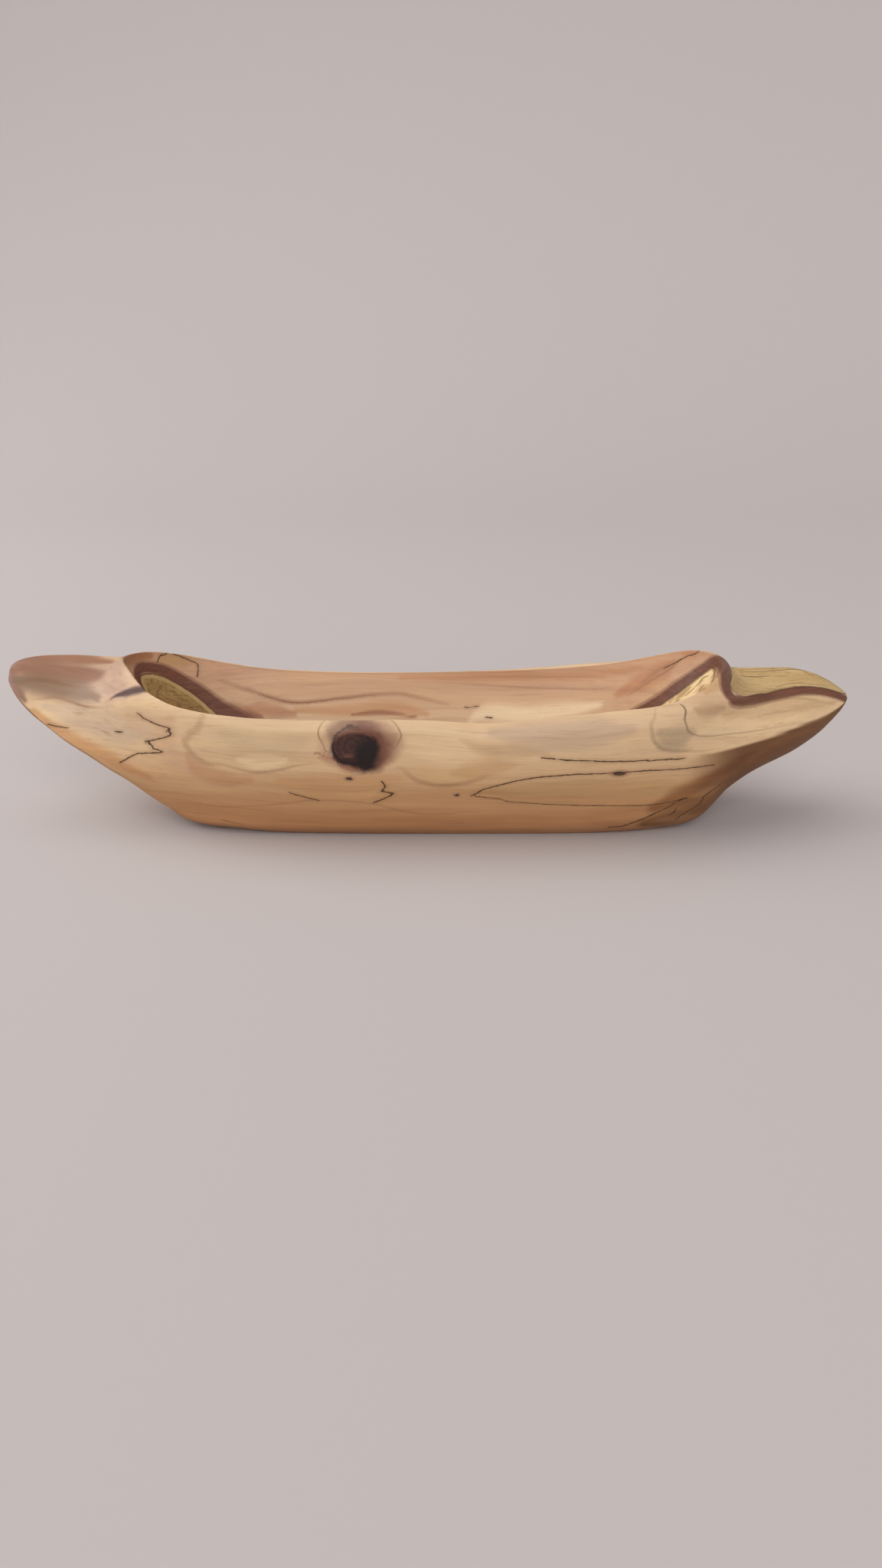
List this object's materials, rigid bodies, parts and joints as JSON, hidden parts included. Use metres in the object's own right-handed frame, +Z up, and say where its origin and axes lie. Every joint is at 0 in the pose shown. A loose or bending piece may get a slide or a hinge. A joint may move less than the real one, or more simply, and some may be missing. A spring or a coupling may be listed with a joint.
{
  "type": "carved wooden trough bowl",
  "caption": "Long, shallow trough bowl hollowed from a single block, with a pointed lug handle at each end, a swept rim and a dark knot in its near wall.",
  "frame": {"origin": "centre of the flat base, on the surface that the bowl stands on", "axes": "+Z up; +X along the bowl, towards the lug with the dished yellow top; -Y towards the side wall that holds the big knot"},
  "size_m": [0.4193, 0.095, 0.081],
  "materials": {
    "carved_wood": "smooth sanded and oiled, satin",
    "knot_wood": "smooth sanded and oiled, satin",
    "dark_bark": "dull and slightly cracked",
    "pin_knot_wood": "smooth, satin"
  },
  "bodies": {
    "root": {"bowl_body": "carved_wood", "knot_core": "knot_wood", "knot_bark_ring": "dark_bark", "pin_knots": "pin_knot_wood"}
  },
  "joints": []
}
